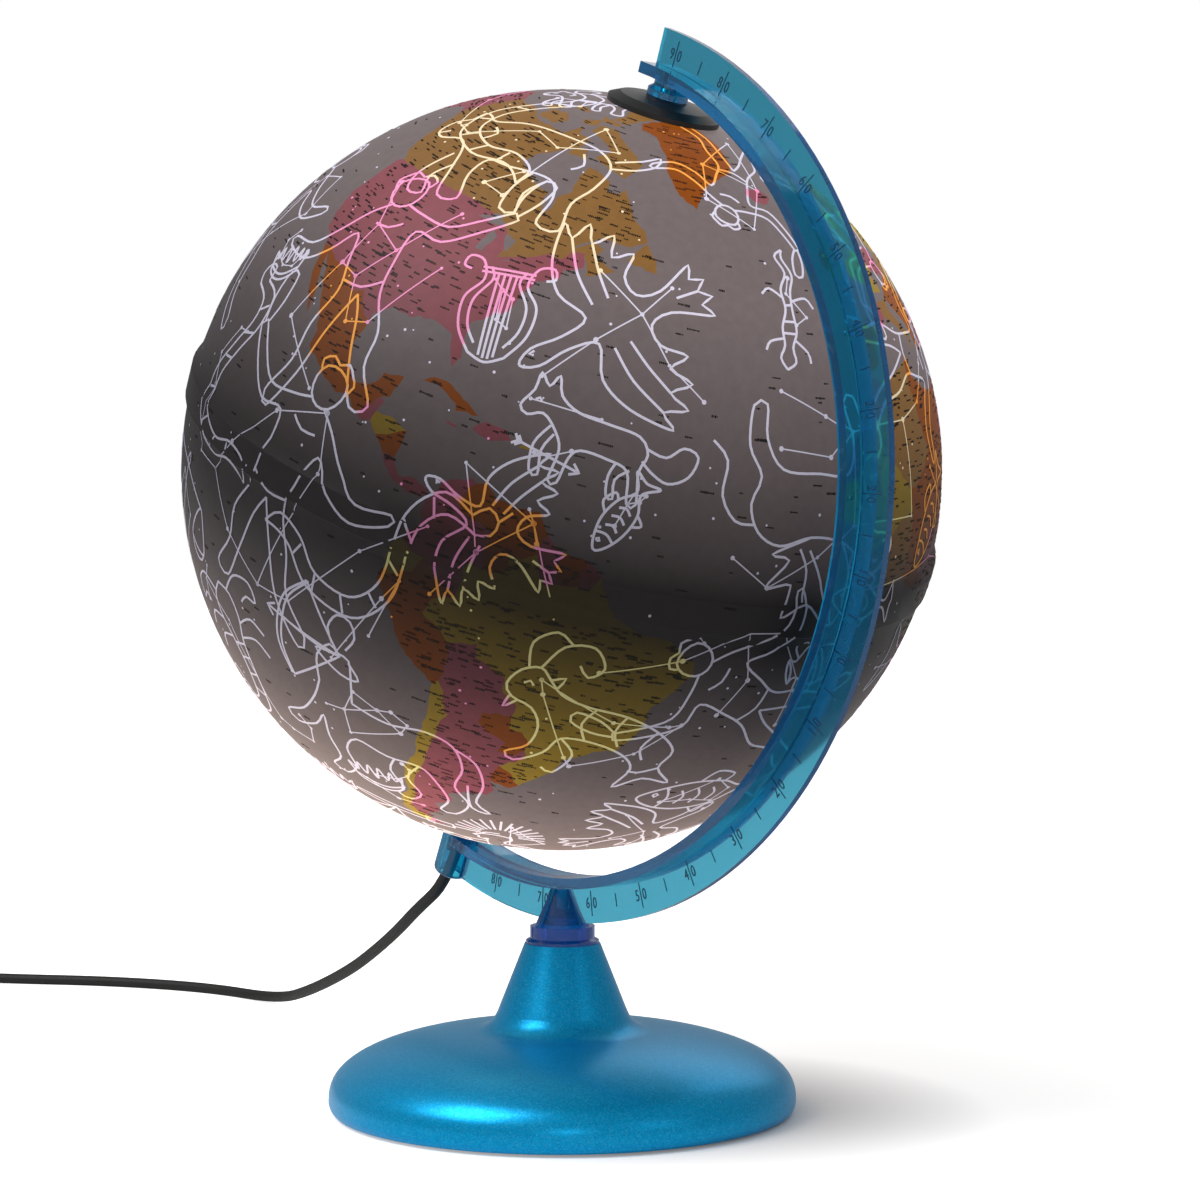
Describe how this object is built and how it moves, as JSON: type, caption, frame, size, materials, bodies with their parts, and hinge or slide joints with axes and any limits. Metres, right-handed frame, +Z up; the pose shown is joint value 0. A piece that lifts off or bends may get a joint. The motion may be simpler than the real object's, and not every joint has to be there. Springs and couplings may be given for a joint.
{
  "type": "celestial desk globe",
  "caption": "Illuminated celestial desk globe: a printed ball turning on a leaning axis in a translucent meridian arm with a degree scale, on a round domed base with a mains cord.",
  "frame": {"origin": "centre of the base's footprint, on the surface that its feet stand on", "axes": "+Z up; the meridian arm stands in the XZ plane and bulges towards +X; the ball's north end leans towards +X"},
  "size_m": [0.6615, 0.2564, 0.3521],
  "materials": {
    "base_plastic": "pearlescent blue moulded polystyrene",
    "clear_blue": "translucent blue moulded polystyrene",
    "collar_blue": "dark translucent blue moulded plastic",
    "black_plastic": "black moulded ABS",
    "switch_plastic": "black moulded ABS",
    "printed_ball": "printed and lacquered map skin on a moulded shell",
    "nylon": "natural nylon",
    "steel": "zinc-plated steel",
    "weight_iron": "pressed iron weight",
    "foot_rubber": "black rubber pad",
    "cord_pvc": "black PVC flex",
    "plug_pvc": "black moulded PVC",
    "plated_brass": "nickel-plated brass",
    "holder_plastic": "white thermoset plastic",
    "lamp_glass": "frosted lamp glass"
  },
  "bodies": {
    "stand": {"base_shell": "base_plastic", "base_weight": "weight_iron", "base_cover": "black_plastic", "cover_screws": "steel", "rubber_feet": "foot_rubber", "meridian_arm": "clear_blue", "arm_collar": "collar_blue", "foot_washer": "steel", "foot_screw": "steel", "north_pivot_spool": "clear_blue", "north_pivot_pin": "steel", "lampholder_body": "holder_plastic", "lampholder_screw_shell": "plated_brass", "lampholder_centre_contact": "plated_brass", "internal_lead": "cord_pvc", "cord_grip": "black_plastic", "bulb_cap": "plated_brass", "bulb_glass": "lamp_glass", "bulb_filament": "lamp_glass", "cord_free": "cord_pvc", "cord_lead": "cord_pvc", "cord_coil": "cord_pvc", "cord_tail": "cord_pvc", "switch_lower_housing": "switch_plastic", "switch_upper_housing": "switch_plastic", "switch_screws": "steel", "switch_contacts": "plated_brass", "plug_body": "plug_pvc", "plug_pins": "plated_brass"},
    "ball": {"northern_hemisphere": "printed_ball", "southern_hemisphere": "printed_ball", "equator_joining_ring": "black_plastic", "north_pole_cap": "black_plastic", "north_bush": "nylon", "south_bush": "black_plastic"},
    "rocker": {"switch_rocker": "switch_plastic"}
  },
  "joints": [
    {"name": "globe_spin", "type": "hinge", "parent": "stand", "child": "ball", "pos_m": [0, 0, 0.2121], "axis": [0.3987, 0, 0.9171], "continuous": true},
    {"name": "rocker_tilt", "type": "hinge", "parent": "stand", "child": "rocker", "pos_m": [-0.40988, -0.05913, 0.01], "axis": [-0.7536, 0.6574, 0], "range_deg": [0, 14]}
  ]
}
